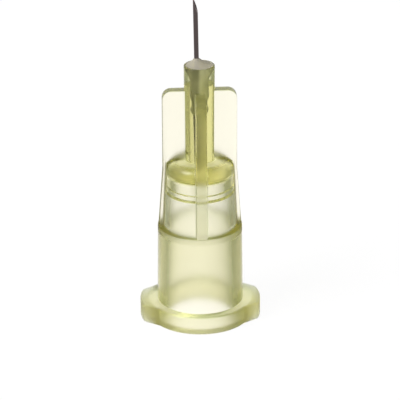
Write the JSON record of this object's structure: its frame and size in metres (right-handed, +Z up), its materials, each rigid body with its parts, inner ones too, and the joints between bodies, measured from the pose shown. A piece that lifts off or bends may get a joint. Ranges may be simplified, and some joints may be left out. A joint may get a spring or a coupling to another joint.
{
  "type": "mesotherapy needle",
  "caption": "Short hypodermic needle: a finned see-through plastic hub with a conical locking socket, and a lancet-pointed steel tube held in it by adhesive.",
  "frame": {"origin": "middle of the hub's bottom face, at the mouth of its socket", "axes": "+Z up the hub's axis from the socket's mouth to the cannula, +X towards a locking lug, -Y towards the fin that faces the viewer"},
  "size_m": [0.0078, 0.0066, 0.0216],
  "materials": {
    "hub_plastic": "moulded, clear with a faint haze",
    "cannula_steel": "drawn and polished, ground point",
    "cured_adhesive": "smooth, milky"
  },
  "bodies": {
    "root": {"hub": "hub_plastic", "cannula": "cannula_steel", "adhesive": "cured_adhesive"}
  },
  "joints": []
}
